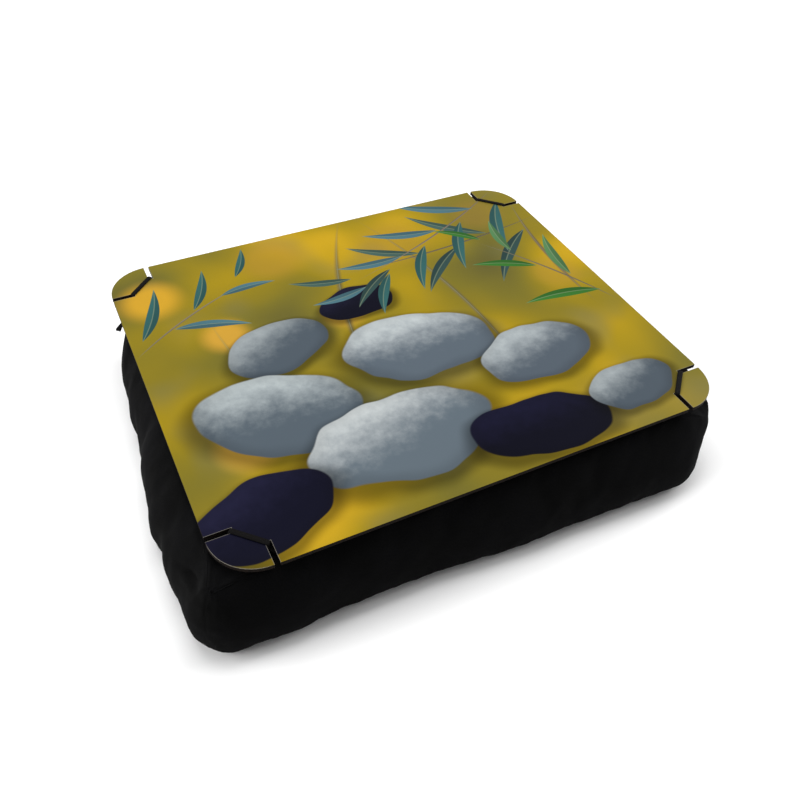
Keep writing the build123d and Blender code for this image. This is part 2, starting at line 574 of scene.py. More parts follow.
    def ground_group(self) -> bpy.types.NodeTree:
        """Makes the node group of what lies under the leaves and stones.

        It hands out the place in millimetres, the same place gently warped for the stones'
        outlines, a fine mottle about 0, the pale share of the cut edge, the depth, which is
        far less on the coat's singed sides, and the blurred golden background with its round
        spots of light.

        Returns:
            The group.
        """
        graph = self.begin_group(
            "golden_ground",
            "",
            "Place:Vector Warped:Vector Mottle:Float Pale:Float Depth:Float Colour:Vector",
        )
        place = object_millimetres(graph)
        warp = graph.add(
            "TexNoise", {"Vector": place, "Scale": 1 / self.warp, "Detail": 1.0}, pick="Color"
        )
        sway = graph.add("VectorMath", (warp, (0.5, 0.5, 0.5)), operation="SUBTRACT")
        reach = (self.warp_reach, self.warp_reach, 0.0)
        warped = graph.add("VectorMath", (sway, reach, place), operation="MULTIPLY_ADD")
        grain = graph.add(
            "TexNoise",
            {"Vector": place, "Scale": 1 / self.mottle, "Detail": 5.0, "Roughness": 0.62},
        )
        mottle = graph.add("Math", (grain, 0.5), operation="SUBTRACT")
        broad = graph.add(
            "TexNoise",
            {"Vector": place, "Scale": 1 / self.patch, "Detail": 1.5, "Roughness": 0.4},
        )
        colour = graph.add("ValToRGB", (broad,), stops=self.grounds)
        drift = graph.add(
            "TexNoise",
            {"Vector": place, "Scale": 1 / self.drift, "Detail": 1.0, "W": 3.0},
            noise_dimensions="4D",
        )
        veil = graph.add(
            "MapRange", (drift, 0.5, 0.75, 0.0, self.veil), interpolation_type="SMOOTHSTEP"
        )
        colour = graph.add(
            "Mix", {0: veil, 4: colour, 5: linear(self.mist)[:3]}, 1, data_type="VECTOR"
        )
        for glow in self.glows:
            middle = (glow.x, glow.y, self.face_height)
            away = graph.add("VectorMath", (place, middle), "Value", operation="DISTANCE")
            near = graph.add(
                "MapRange",
                (away, glow.radius, glow.radius * 0.35, 0.0, glow.strength),
                interpolation_type="SMOOTHSTEP",
            )
            colour = graph.add(
                "Mix", {0: near, 4: colour, 5: linear(glow.colour)[:3]}, 1, data_type="VECTOR"
            )
        pale = self.pale_share(graph, place)
        normal = graph.add("NewGeometry", pick="Normal")
        upward = graph.add(
            "VectorMath", (normal, (0.0, 0.0, 1.0)), "Value", operation="DOT_PRODUCT"
        )
        depth = graph.add("MapRange", (upward, 0.4, 0.6, self.cut_depth, self.depth))
        graph.add("NodeGroupOutput", (place, warped, mottle, pale, depth, colour))
        return graph.tree

    def pale_share(self, graph: Graph, place: bpy.types.NodeSocket) -> bpy.types.NodeSocket:
        """Finds the hair-thin line of primer round the corners and the notches.

        The distance to the outline is that of a rounded rectangle, and the distance to a notch
        is that of a box. Both use the absolute X and Y, because the four corners are alike.
        The line fades out where the outline straightens.

        Args:
            graph: The group's graph.
            place: Object coordinates in millimetres.

        Returns:
            The share of primer, from 0 to 1.
        """
        quarter = graph.add("VectorMath", (place,), operation="ABSOLUTE")
        flat = graph.add("VectorMath", (quarter, (1.0, 1.0, 0.0)), operation="MULTIPLY")
        radius, rim = self.corner_radius, self.rim
        wide, deep = BOARD_HALF
        inner = (wide - radius, deep - radius, 0.0)
        past = graph.add("VectorMath", (flat, inner), operation="SUBTRACT")
        outside = graph.add("VectorMath", (past, (0.0, 0.0, 0.0)), operation="MAXIMUM")
        away = graph.add("VectorMath", (outside,), "Value", operation="LENGTH")
        line = graph.add(
            "MapRange", (away, radius - rim, radius - rim / 3, 0.0, self.rim_share)
        )
        past_x = graph.add("VectorMath", (past, (1.0, 0.0, 0.0)), "Value", operation="DOT_PRODUCT")
        past_y = graph.add("VectorMath", (past, (0.0, 1.0, 0.0)), "Value", operation="DOT_PRODUCT")
        least = graph.add("Math", (past_x, past_y), operation="MINIMUM")
        round_share = graph.add("MapRange", (least, 0.0, self.rim_fade, 0.0, 1.0))
        share = graph.add("Math", (line, round_share), operation="MULTIPLY")
        depth, narrow = self.notch_depth, self.notch_half_width
        for middle, half in (
            ((wide, deep - self.notch_middle, 0.0), (depth, narrow, 0.0)),
            ((wide - self.notch_middle, deep, 0.0), (narrow, depth, 0.0)),
        ):
            offset = graph.add("VectorMath", (flat, middle), operation="SUBTRACT")
            span = graph.add("VectorMath", (offset,), operation="ABSOLUTE")
            beyond = graph.add("VectorMath", (span, half), operation="SUBTRACT")
            clear = graph.add("VectorMath", (beyond, (0.0, 0.0, 0.0)), operation="MAXIMUM")
            away = graph.add("VectorMath", (clear,), "Value", operation="LENGTH")
            line = graph.add("MapRange", (away, rim, rim / 3, 0.0, self.notch_share))
            share = graph.add("Math", (share, line), operation="MAXIMUM")
        return share

    def axes(self, item: Leaf | Stone) -> tuple[Triple, Triple, Triple]:
        """Works out where a motif lies.

        Args:
            item: The motif.

        Returns:
            Its middle, and its two axes, each divided by half its size along that axis.
        """
        turn = math.radians(item.turn)
        cosine, sine = math.cos(turn), math.sin(turn)
        along = (2 * cosine / item.length, 2 * sine / item.length, 0.0)
        across = (-2 * sine / item.width, 2 * cosine / item.width, 0.0)
        return (item.x, item.y, 0.0), along, across

    def make(self) -> bpy.types.Material:
        """Builds the material.

        The ground and every motif are groups that take and hand on plain vectors, so that the
        renderer works them out one after the other and holds few values at a time.

        Returns:
            The material.
        """
        material, graph = new_material(self.name)
        place = graph.add("Group", node_tree=self.ground_group())
        ground = place.node.outputs
        colour = ground["Colour"]
        leaf, stone = self.leaf_group(), self.stone_group()
        for item in (*self.far_blades(), *self.stones(), *self.near_leaves()):
            if isinstance(item, Stone):
                light, shade = linear(item.light)[:3], linear(item.shade)[:3]
                given = (ground["Warped"], colour, *self.axes(item), light, shade)
                colour = graph.add("Group", (*given, ground["Mottle"]), node_tree=stone)
            else:
                bend, blur = 2 * item.bend / item.width, 2 * item.blur / item.width
                given = (place, colour, *self.axes(item), bend, blur)
                colour = graph.add("Group", (*given, linear(item.colour)[:3]), node_tree=leaf)
        colour = graph.add("VectorMath", {0: colour, 3: ground["Depth"]}, operation="SCALE")
        colour = graph.add(
            "Mix",
            {0: ground["Pale"], 4: colour, 5: linear(self.primer)[:3]},
            1,
            data_type="VECTOR",
        )
        # Orange peel of a sprayed coat, from crest to crest
        peel = graph.add("TexNoise", {"Vector": place, "Scale": 1 / self.peel, "Detail": 1.0})
        bump = graph.add("Bump", {"Strength": 0.05, "Distance": 0.0001, "Height": peel})
        surface = graph.add(
            "BsdfPrincipled",
            {
                "Base Color": colour,
                "Roughness": 0.42,
                "IOR": 1.5,
                "Specular IOR Level": 0.03,
                "Normal": bump,
            },
        )
        graph.add("OutputMaterial", {"Surface": surface})
        return material


@dataclass(frozen=True)
class SingedHardboard:
    """Hardboard: pressed wood fibre, laser-cut.

    The laser leaves its edge a dark singed brown with fine upright streaks, and the underside
    keeps the brown of pressed fibre.
    """

    name: str = "laser_cut_hardboard"
    singed: str = "#0c0806"
    scorched: str = "#1a120d"
    fibre: str = "#6a4a30"
    fibre_dark: str = "#4c3321"
    streak: float = 1.1
    fibre_length: float = 2.5

    def make(self) -> bpy.types.Material:
        """Builds the material.

        Returns:
            The material.
        """
        material, graph = new_material(self.name)
        place = object_millimetres(graph)
        tall = graph.add("VectorMath", (place, (1.0, 1.0, 0.12)), operation="MULTIPLY")
        streaks = graph.add(
            "TexNoise", {"Vector": tall, "Scale": 1 / self.streak, "Detail": 2.0}
        )
        edge = graph.add("ValToRGB", (streaks,), stops=((0.35, self.singed), (0.7, self.scorched)))
        fibres = graph.add(
            "TexNoise",
            {"Vector": place, "Scale": 1 / self.fibre_length, "Detail": 6.0, "Roughness": 0.7},
        )
        face = graph.add("ValToRGB", (fibres,), stops=((0.3, self.fibre_dark), (0.7, self.fibre)))
        normal = graph.add("NewGeometry", pick="Normal")
        upward = graph.add(
            "VectorMath", (normal, (0.0, 0.0, 1.0)), "Value", operation="DOT_PRODUCT"
        )
        level = graph.add("Math", (upward,), operation="ABSOLUTE")
        is_face = graph.add("Math", (level, 0.5), operation="GREATER_THAN")
        colour = graph.add("Mix", {0: is_face, 6: edge, 7: face}, pick=2, data_type="RGBA")
        bump = graph.add("Bump", {"Strength": 0.3, "Distance": 0.0003, "Height": fibres})
        surface = graph.add(
            "BsdfPrincipled",
            {"Base Color": colour, "Roughness": 0.82, "Specular IOR Level": 0.08, "Normal": bump},
        )
        graph.add("OutputMaterial", {"Surface": surface})
        return material


@dataclass(frozen=True)
class BrushedMicrofibre:
    """Black polyester microfibre with a brushed face.

    Emery rollers raise a nap too short and fine to show, so the cloth is an even matt black
    with soft patches where the nap lies another way. The nap is drawn ten times as coarse as
    it is, about 1.5 mm, so that it leaves a faint grain.
    """

    name: str = "black_brushed_microfibre"
    colour: str = "#060606"
    laid: str = "#0a0a0b"
    patch: float = 38.0
    nap: float = 1.5

    def make(self) -> bpy.types.Material:
        """Builds the material.

        Returns:
            The material.
        """
        material, graph = new_material(self.name)
        place = object_millimetres(graph)
        cloth = graph.add("UVMap", uv_map="cloth")
        patches = graph.add(
            "TexNoise", {"Vector": place, "Scale": 1 / self.patch, "Detail": 3.0}
        )
        nap = graph.add(
            "TexNoise", {"Vector": cloth, "Scale": 1 / (MM * self.nap), "Detail": 3.0}
        )
        tone = graph.add("Math", (nap, 0.35, patches), operation="MULTIPLY_ADD")
        colour = graph.add("ValToRGB", (tone,), stops=((0.5, self.colour), (0.85, self.laid)))
        bump = graph.add("Bump", {"Strength": 0.3, "Distance": 0.0003, "Height": nap})
        surface = graph.add(
            "BsdfPrincipled",
            {
                "Base Color": colour,
                "Roughness": 0.95,
                "Specular IOR Level": 0.03,
                "Sheen Weight": 0.006,
                "Sheen Roughness": 0.5,
                "Normal": bump,
            },
        )
        graph.add("OutputMaterial", {"Surface": surface})
        return material


@dataclass(frozen=True)
class BraidedElastic:
    """Flat elastic: rubber cores under a polyester braid.

    The braid crosses in a herringbone of 1 mm plaits. Light and shade are painted into its
    colour: the plaits' crests are painted lighter than the gaps between them, and the strap is
    painted lighter along its middle, a painted highlight, and darker towards the selvedges,
    painted shade.
    """

    name: str = "flat_braided_elastic"
    yarn: str = "#0c0b0b"
    gap: str = "#040303"
    plait: float = 1.0

    def make(self) -> bpy.types.Material:
        """Builds the material.

        Returns:
            The material.
        """
        material, graph = new_material(self.name)
        cloth = graph.add("UVMap", uv_map="cloth")
        split = graph.add("SeparateXYZ", (cloth,)).node.outputs
        across = graph.add("Math", (split["Y"], 1 / MM), operation="MULTIPLY")
        along = graph.add("Math", (split["X"], 1 / MM), operation="MULTIPLY")
        fold = graph.add("Math", (across, self.plait), operation="PINGPONG")
        slant = graph.add("Math", (along, fold), operation="ADD")
        turns = graph.add("Math", (slant, 2 * math.pi / self.plait), operation="MULTIPLY")
        ridge = graph.add("Math", (turns,), operation="SINE")
        height = graph.add("MapRange", (ridge, -1.0, 1.0, 0.0, 1.0))
        selvedge = graph.add("Math", (across,), operation="ABSOLUTE")
        # Painted highlight along the strap's middle, painted shade towards its selvedges
        middle = graph.add("MapRange", (selvedge, 2.0, 0.9, 0.15, 1.0))
        tone = graph.add("Math", (height, middle), operation="MULTIPLY")
        # Painted light: the crests take the lighter yarn colour, the gaps between plaits the
        # darker one
        colour = graph.add("ValToRGB", (tone,), stops=((0.0, self.gap), (1.0, self.yarn)))
        bump = graph.add("Bump", {"Strength": 0.6, "Distance": 0.0002, "Height": height})
        surface = graph.add(
            "BsdfPrincipled",
            {
                "Base Color": colour,
                "Roughness": 0.8,
                "Specular IOR Level": 0.06,
                "Normal": bump,
            },
        )
        graph.add("OutputMaterial", {"Surface": surface})
        return material


@dataclass(frozen=True)
class SewingThread:
    """Black spun polyester sewing thread, two plies twisted, faintly glossy."""

    name: str = "black_sewing_thread"
    dark: str = "#101012"
    light: str = "#2c2c30"
    twist: float = 0.5

    def make(self) -> bpy.types.Material:
        """Builds the material.

        Returns:
            The material.
        """
        material, graph = new_material(self.name)
        place = object_millimetres(graph)
        scale = 1 / (self.twist * 2 * math.pi)
        plies = graph.add("TexWave", {"Vector": place, "Scale": scale}, pick=1)
        # Painted light: the plies' crests are painted lighter and the grooves between them darker,
        # a painted highlight and painted shade
        colour = graph.add("ValToRGB", (plies,), stops=((0.2, self.dark), (0.8, self.light)))
        bump = graph.add("Bump", {"Strength": 0.4, "Distance": 0.0001, "Height": plies})
        surface = graph.add(
            "BsdfPrincipled",
            {"Base Color": colour, "Roughness": 0.55, "Specular IOR Level": 0.35, "Normal": bump},
        )
        graph.add("OutputMaterial", {"Surface": surface})
        return material


@dataclass(frozen=True)
class NonWovenLining:
    """White spun-bonded polypropylene, point-welded in a 2.4 mm diamond grid of small dimples."""

    name: str = "spun_bonded_lining"
    fibre: str = "#e6e5e0"
    weld: str = "#cfcec8"
    pitch: float = 2.4
    fibre_length: float = 0.7

    def make(self) -> bpy.types.Material:
        """Builds the material.

        Returns:
            The material.
        """
        material, graph = new_material(self.name)
        place = object_millimetres(graph)
        welds = graph.add(
            "TexVoronoi", {"Vector": place, "Scale": 1 / self.pitch, "Randomness": 0.15}
        )
        dimple = graph.add("MapRange", (welds, 0.1, 0.3, 0.0, 1.0))
        fibres = graph.add(
            "TexNoise", {"Vector": place, "Scale": 1 / self.fibre_length, "Detail": 5.0}
        )
        relief = graph.add("Math", (fibres, 0.4, dimple), operation="MULTIPLY_ADD")
        colour = graph.add("ValToRGB", (relief,), stops=((0.2, self.weld), (1.0, self.fibre)))
        bump = graph.add("Bump", {"Strength": 0.5, "Distance": 0.0003, "Height": relief})
        surface = graph.add(
            "BsdfPrincipled",
            {"Base Color": colour, "Roughness": 0.75, "Specular IOR Level": 0.3, "Normal": bump},
        )
        graph.add("OutputMaterial", {"Surface": surface})
        return material


@dataclass(frozen=True)
class PolystyreneBeads:
    """White expanded polystyrene: steam-blown beads of about 4 mm, matt, packed together."""

    name: str = "expanded_polystyrene_beads"
    white: str = "#f0f0ee"
    gap: str = "#b9bab8"
    bead: float = 4.0

    def make(self) -> bpy.types.Material:
        """Builds the material.

        Returns:
            The material.
        """
        material, graph = new_material(self.name)
        place = object_millimetres(graph)
        away = graph.add("TexVoronoi", {"Vector": place, "Scale": 1 / self.bead})
        dome = graph.add(
            "MapRange", (away, 0.0, 0.75, 1.0, 0.0), interpolation_type="SMOOTHERSTEP"
        )
        # Painted shade: the hollows between the beads are painted grey and the beads' tops white
        colour = graph.add("ValToRGB", (dome,), stops=((0.05, self.gap), (0.5, self.white)))
        bump = graph.add("Bump", {"Strength": 0.9, "Distance": 0.0015, "Height": dome})
        surface = graph.add(
            "BsdfPrincipled",
            {"Base Color": colour, "Roughness": 0.6, "Specular IOR Level": 0.35, "Normal": bump},
        )
        graph.add("OutputMaterial", {"Surface": surface})
        return material


# The cushion


@dataclass(frozen=True)
class Dent:
    """A long soft dent or ridge in the cover.

    Points move along their own normals by the height, times a bell curve of the given reach
    along the axis and another across it.
    """

    centre: Triple
    axis: Triple
    along: float
    across: float
    height: float

    def press(self, points: np.ndarray, normals: np.ndarray) -> np.ndarray:
        """Works out how far each point moves.

        Args:
            points: Positions in millimetres.
            normals: The unit normal of each point.

        Returns:
            The moves, one row each.
        """
        axis = np.array(self.axis) / np.linalg.norm(self.axis)
        offset = points - np.array(self.centre)
        run = offset @ axis
        aside = np.linalg.norm(offset - run[:, None] * axis, axis=1)
        bell = np.exp(-((run / self.along) ** 2) - (aside / self.across) ** 2)
        return normals * (self.height * bell)[:, None]


@dataclass(frozen=True)
class Swell:
    """A broad bulge in one side of the cushion, greatest low down.

    Sides count from the front anticlockwise, and the middle and the reach are shares of the
    straight part between the side's two corner arcs.
    """

    side: int
    middle_share: float
    reach_share: float
    amount: float


@dataclass(frozen=True)
class Form:
    """A closed surface of quads with the row and column of each wall point.

    wall holds one row of point indices for each height, anticlockwise seen from above and from
    the foot to the top seam.
    """

    points: np.ndarray
    faces: np.ndarray
    uv: np.ndarray
    wall: np.ndarray
    top: np.ndarray
    bottom: np.ndarray
    corner_columns: tuple[int, int, int, int]


@dataclass(frozen=True)
class CushionShape:
    """The cushion's form at rest: a sagging box whose sides draw in between its corners.

    A ring at a height is a polygon of four corners with rounded arcs and hollow sides. Low down
    the corners sag outwards, each by its own measure. At the top seam they stand out as small
    ears that show beside the board's round corners, except at the back left, which has sunk.
    """

    low_out: Pairs = ((26.5, 9.5), (-9.0, 22.0), (4.2, 6.1), (7.5, -5.5))
    low_radius: Four = (32.0, 37.5, 45.0, 86.0)
    seam_out: Pairs = ((8.5, -3.5), (3.5, -1.0), (-1.0, 5.0), (-7.0, -5.0))
    seam_radius: Four = (6.0, 22.0, 22.0, 74.0)
    seam_drop: Four = (2.5, 18.5, 0.0, 12.0)
    drop_reach: Four = (48.0, 27.0, 48.0, 38.0)
    seam_height: float = 67.0
    foot_tuck: float = 10.0
    tuck_share: float = 0.28
    lean_start: float = 0.28
    crown_rise: float = 4.4
    crown_reach: float = 100.0
    crown_inset: float = 5.0
    crown_corner: float = 12.0
    low_draw: Four = (4.0, 3.0, 3.0, 1.0)
    seam_draw: Four = (3.0, 3.0, 2.0, 6.0)
    seam_draw_power: int = 8
    swells: tuple[Swell, ...] = (
        Swell(0, 0.10, 0.05, 2.5),
        Swell(0, 0.60, 0.14, 4.5),
        Swell(0, 0.83, 0.10, 2.0),
        Swell(3, 0.18, 0.06, 2.6),
        Swell(3, 0.31, 0.07, 1.7),
        Swell(3, 0.45, 0.08, 5.2),
        Swell(3, 0.57, 0.08, 5.6),
        Swell(3, 0.68, 0.07, 7.8),
        Swell(3, 0.81, 0.06, 5.4),
        Swell(3, 0.89, 0.04, 2.8),
    )
    least_radius: float = 5.0
    arc_shares: tuple[float, ...] = (0.0, 0.04, 0.11, 0.22, 0.36, 0.51, 0.67, 0.83, 1.0)
    straight_cells: tuple[int, int, int, int] = (64, 52, 64, 52)
    # The rings lie closer near the foot seam, at 6 mm, and near the top seam
    foot_heights: tuple[float, ...] = (0.0, 1.4, 3.2, 4.9, 6.0, 7.1, 9.2, 12.5, 17.0)
    side_heights: tuple[float, ...] = (22.0, 27.0, 32.0, 37.0, 42.0, 47.0, 52.0, 57.0)
    top_heights: tuple[float, ...] = (61.0, 64.0, 65.8, 67.0)

    def lean(self, share: np.ndarray) -> np.ndarray:
        """How far a ring has moved from the low outline, 0, to the top seam's, 1."""
        return np.clip((share - self.lean_start) / (1 - self.lean_start), 0, 1) ** 2

    def tuck(self, share: np.ndarray) -> np.ndarray:
        """How far a ring is drawn in under the cushion: a quarter of an ellipse."""
        up = np.clip(1 - share / self.tuck_share, 0, 1)
        return 1 - np.sqrt(1 - up**2)

    def rings(self, lean: np.ndarray, inset: np.ndarray) -> np.ndarray:
        """Works out the rings in plan.

        The lean blends the corners' places and radii between those low down and those at the
        top seam. Each corner is an arc that touches both of its sides. Low down a side draws
        in by a parabola and swells by bell curves. At the seam it draws in by a curve of a
        high power, which is level nearly up to the corners.

        Args:
            lean: One value from 0 to 1 for each ring.
            inset: How far each ring is taken in, in millimetres.

        Returns:
            X and Y of every point, ring by ring, from the front left corner's seam.
        """
        lean_, inset_ = lean[:, None], inset[:, None]
        low_out, seam_out = np.array(self.low_out), np.array(self.seam_out)
        out = low_out * (1 - lean_[..., None]) + seam_out * lean_[..., None]
        corner = CORNERS * (BOARD_HALF + out - inset_[..., None])
        low_radius, seam_radius = np.array(self.low_radius), np.array(self.seam_radius)
        radius = low_radius * (1 - lean_) + seam_radius * lean_ - inset_
        radius = np.maximum(radius, self.least_radius)
        edge = np.roll(corner, -1, axis=1) - corner
        edge = edge / np.linalg.norm(edge, axis=2, keepdims=True)
        outward = np.stack((edge[..., 1], -edge[..., 0]), axis=2)
        facing = np.arctan2(outward[..., 1], outward[..., 0])
        turn = np.mod(facing - np.roll(facing, 1, axis=1), 2 * math.pi)
        reach = radius * np.tan(turn / 2)
        start = corner + edge * reach[..., None]
        centre = start - outward * radius[..., None]
        left_over = 1 - np.array(self.arc_shares)

        def arc(k: int, swing: np.ndarray) -> np.ndarray:
            """The points of a corner's arc that lie in given directions from its centre."""
            spoke = np.stack((np.cos(swing), np.sin(swing)), axis=2)
            return centre[:, k, None] + radius[:, k, None, None] * spoke

        pieces = []
        for k in range(4):
            after = (k + 1) % 4
            opening = arc(k, facing[:, k, None] - turn[:, k, None] / 2 * left_over)
            end = corner[:, after] - edge[:, k] * reach[:, after, None]
            share = np.linspace(0, 1, self.straight_cells[k] + 1)[1:-1]
            run = start[:, k, None] + (end - start[:, k])[:, None] * share[:, None]
            low = -4 * share * (1 - share) * self.low_draw[k]
            for swell in self.swells:
                bell = np.exp(-(((share - swell.middle_share) / swell.reach_share) ** 2))
                low = low + swell.amount * bell * (swell.side == k)
            high = -(1 - (2 * share - 1) ** self.seam_draw_power) * self.seam_draw[k]
            bulge = (low * (1 - lean_) + high * lean_)[..., None] * outward[:, k, None]
            half_turn = turn[:, after, None] / 2
            closing = arc(after, facing[:, k, None] + half_turn * left_over[:0:-1])
            pieces += [opening, run + bulge, closing]
        return np.concatenate(pieces, axis=1)

    def seam_level(self, points: np.ndarray, layer: float) -> np.ndarray:
        """Works out the top seam's height for places in plan.

        It is the seam's height less, for each corner, its drop times a bell curve of the
        distance to it.

        Args:
            points: X and Y of the places.
            layer: How far inside the cover's outside the surface lies.

        Returns:
            The height at each place.
        """
        corner = CORNERS * (BOARD_HALF + np.array(self.seam_out))
        away = np.linalg.norm(points[..., None, :] - corner, axis=-1)
        bell = np.exp(-((away / np.array(self.drop_reach)) ** 2))
        return self.seam_height - layer - (np.array(self.seam_drop) * bell).sum(axis=-1)

    def borders(self, ring: np.ndarray, across: int, deep: int) -> tuple[np.ndarray, ...]:
        """Cuts a ring into the four borders of its patch.

        Args:
            ring: A row or a number for each of its points, from the front left corner,
                anticlockwise.
            across: Cells along the front and the back.
            deep: Cells along the left and the right.

        Returns:
            The front, right, back and left border, each along X or Y.
        """
        closed = np.concatenate((ring, ring[:1]))
        front = closed[: across + 1]
        right = closed[across : across + deep + 1]
        back = closed[across + deep : 2 * across + deep + 1][::-1]
        left = closed[2 * across + deep :][::-1]
        return front, right, back, left

    def patch(self, ring: np.ndarray, across: int, deep: int) -> np.ndarray:
        """Fills a ring with a grid: each point is blended from the four sides of the ring.

        Args:
            ring: X, Y and Z of the ring's points from the front left corner, anticlockwise.
            across: Cells along the front and the back.
            deep: Cells along the left and the right.

        Returns:
            The grid of points, (deep + 1) by (across + 1).
        """
        front, right, back, left = self.borders(ring, across, deep)

        def share(line: np.ndarray) -> np.ndarray:
            """Works out how far along a line its points lie.

            Args:
                line: The points.

            Returns:
                The share of the line's length at each of them.
            """
            steps = np.linalg.norm(np.diff(line, axis=0), axis=1)
            run = np.concatenate(([0], np.cumsum(steps)))
            return run / run[-1]

        u = ((share(front) + share(back)) / 2)[None, :, None]
        v = ((share(left) + share(right)) / 2)[:, None, None]
        sides = (1 - v) * front[None] + v * back[None]
        sides = sides + (1 - u) * left[:, None] + u * right[:, None]
        corners = (
            (1 - u) * (1 - v) * front[0]
            + u * (1 - v) * front[-1]
            + (1 - u) * v * back[0]
            + u * v * back[-1]
        )
        return sides - corners

    def crown(self, points: np.ndarray) -> np.ndarray:
        """Works out how far the top stands above the seam.

        It rises by a parabola of the depth inside a rounded rectangle, up to where it is
        level.

        Args:
            points: Places in plan, whose height isn't used.

        Returns:
            The rise at each place.
        """
        past = np.abs(points[..., :2]) - (BOARD_HALF - self.crown_inset - self.crown_corner)
        outside = np.linalg.norm(np.maximum(past, 0), axis=-1)
        depth = self.crown_corner - outside - np.minimum(np.max(past, axis=-1), 0)
        share = np.clip(depth / self.crown_reach, 0, 1)
        return self.crown_rise * (1 - (1 - share) ** 2)

    def closed(self, layer: float) -> Form:
        """Builds the whole closed surface, taken in by the layers outside it.

        Args:
            layer: How far inside the cover's outside it lies, in millimetres.

        Returns:
            The surface with its cloth coordinates, in metres along the weave.
        """
        heights = np.array(self.foot_heights + self.side_heights + self.top_heights)
        share = heights / heights[-1]
        plan = self.rings(self.lean(share), self.foot_tuck * self.tuck(share) + layer)
        rows, columns = plan.shape[:2]
        seam = self.seam_level(plan[-1], layer)
        level = layer + (seam[None] - layer) * share[:, None]
        wall_points = np.concatenate((plan, level[..., None]), axis=2)
        wall = np.arange(rows * columns).reshape(rows, columns)
        cells = len(self.arc_shares) * 2 - 2
        across, deep = self.straight_cells[0] + cells, self.straight_cells[1] + cells
        top_points = self.patch(wall_points[-1], across, deep)
        top_points[..., 2] = self.seam_level(top_points[..., :2], layer) + self.crown(top_points)
        bottom_points = self.patch(wall_points[0], across, deep)

        def index(ring: np.ndarray, first: int) -> np.ndarray:
            """Numbers the points of a patch whose border is a ring.

            Args:
                ring: The numbers of the ring's points.
                first: The number of the first point inside.

            Returns:
                The numbers of the patch's points, row by row.
            """
            grid = np.zeros((deep + 1, across + 1), int)
            inner = (deep - 1) * (across - 1)
            grid[1:-1, 1:-1] = first + np.arange(inner).reshape(deep - 1, across - 1)
            grid[0], grid[:, -1], grid[-1], grid[:, 0] = self.borders(ring, across, deep)
            return grid

        top = index(wall[-1], rows * columns)
        bottom = index(wall[0], int(top.max()) + 1)
        points = np.concatenate(
            (
                wall_points.reshape(-1, 3),
                top_points[1:-1, 1:-1].reshape(-1, 3),
                bottom_points[1:-1, 1:-1].reshape(-1, 3),
            )
        )
        looped = np.concatenate((plan, plan[:, :1]), axis=1)
        steps = np.linalg.norm(np.diff(looped, axis=1), axis=2)
        run = np.concatenate((np.zeros((rows, 1)), np.cumsum(steps, axis=1)), axis=1)
        rise = np.repeat(heights[:, None], columns + 1, axis=1)
        wall_uv = np.stack((run, rise), axis=2)
        faces, uvs = [], []
        ringed = np.concatenate((wall, wall[:, :1]), axis=1)
        for grid, cloth, flip in (
            (ringed, wall_uv, False),
            (top, top_points[..., :2], False),
            (bottom, bottom_points[..., :2], True),
        ):
            order = (slice(None, -1), slice(1, None))
            corners = [(0, 0), (0, 1), (1, 1), (1, 0)]
            corners = corners[::-1] if flip else corners
            quads = np.stack([grid[order[a], order[b]] for a, b in corners], -1)
            places = np.stack([cloth[order[a], order[b]] for a, b in corners], -2)
            faces.append(quads.reshape(-1, 4))
            uvs.append(places.reshape(-1, 2))
        side_starts = np.cumsum([0] + [n + cells for n in self.straight_cells[:3]])
        return Form(
            points,
            np.concatenate(faces),
            np.concatenate(uvs) * MM,
            wall,
            top,
            bottom,
            tuple(int(c) for c in side_starts),
        )


